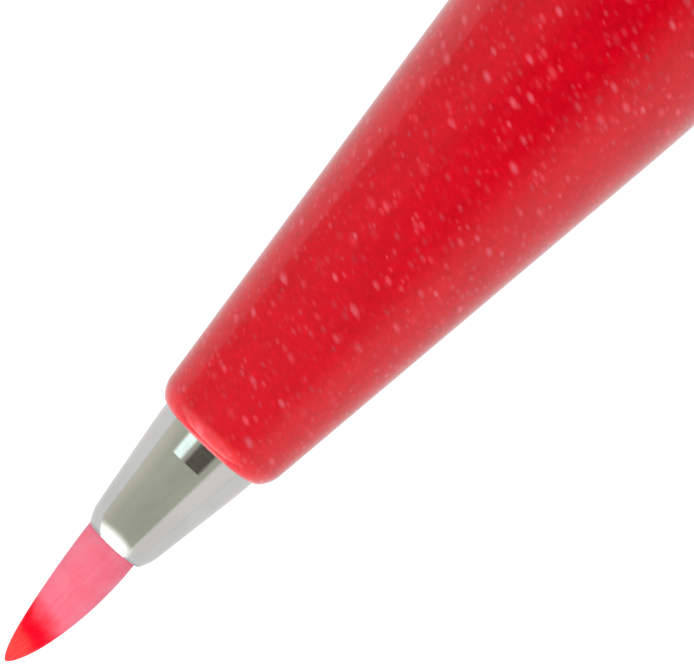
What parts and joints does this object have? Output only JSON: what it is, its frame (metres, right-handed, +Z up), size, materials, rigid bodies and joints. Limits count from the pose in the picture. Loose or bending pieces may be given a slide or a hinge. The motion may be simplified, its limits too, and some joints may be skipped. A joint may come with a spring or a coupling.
{
  "type": "brush pen",
  "caption": "Round refillable brush pen: tapered grip with a metal ferrule and pointed hair brush, ink cartridge inside, and a clip cap pushed on the tail.",
  "frame": {"origin": "on the table under the middle of the pen's box", "axes": "+X along the pen's axis from the brush point to the crown of the cap, +Z up from the table the pen lies on"},
  "size_m": [0.1712, 0.016, 0.0149],
  "materials": {
    "glitter_red": "glossy red plastic with fine pink-white glitter",
    "bright_metal": "bright, slightly soft polished plating",
    "brush_hair": "pink nylon hair, wet red point",
    "black_plastic": "moulded",
    "clear_plastic": "clear moulded",
    "ink_plastic": "translucent, full of red ink",
    "white_plastic": "moulded",
    "seal_rubber": "smooth",
    "brass": "turned",
    "steel": "polished ball"
  },
  "bodies": {
    "barrel": {"barrel": "glitter_red", "thread_insert": "brass", "tail_plug": "bright_metal"},
    "ring": {"grip_ring": "bright_metal"},
    "grip": {"grip_section": "glitter_red", "ferrule": "bright_metal", "tuft_root": "brush_hair", "root_weld": "brush_hair", "root_collar": "white_plastic", "ink_wick": "brush_hair", "feed_collector": "black_plastic", "feed_seal": "seal_rubber", "spike_housing": "clear_plastic", "ink_cartridge": "ink_plastic"},
    "tuft": {"bristle_tuft": "brush_hair"},
    "ball": {"mixing_ball": "steel"},
    "cap": {"cap_shell": "glitter_red", "cap_band": "bright_metal", "cap_liner": "white_plastic", "cap_crown": "bright_metal", "crown_nut": "brass", "clip_ring": "bright_metal"},
    "clip": {"clip_arm": "bright_metal"}
  },
  "joints": [
    {"name": "grip_advance", "type": "slide", "parent": "barrel", "child": "ring", "axis": [-1, 0, 0], "range_m": [0, 0.0081]},
    {"name": "grip_turn", "type": "hinge", "parent": "ring", "child": "grip", "pos_m": [-0.03998, 0.0005, 0.00747], "axis": [-1, 0, 0], "range_deg": [0, 2304]},
    {"name": "tuft_bend", "type": "hinge", "parent": "grip", "child": "tuft", "pos_m": [-0.07983, 0.0005, 0.00747], "axis": [0, 0, 1], "range_deg": [-25, 25], "stiffness_Nm_per_rad": 0.0002},
    {"name": "ball_roll", "type": "slide", "parent": "grip", "child": "ball", "axis": [1, 0, 0], "range_m": [-0.021, 0.025]},
    {"name": "cap_pull", "type": "slide", "parent": "barrel", "child": "cap", "axis": [1, 0, 0], "range_m": [0, 0.036]},
    {"name": "clip_flex", "type": "hinge", "parent": "cap", "child": "clip", "pos_m": [0.0817, -0.00643, 0.0018], "axis": [0, -0.6331, 0.7741], "range_deg": [0, 6], "stiffness_Nm_per_rad": 0.5}
  ],
  "couplings": [
    {"joint": "grip_advance", "follows": "grip_turn", "m_per_rad": 0.00019894}
  ]
}
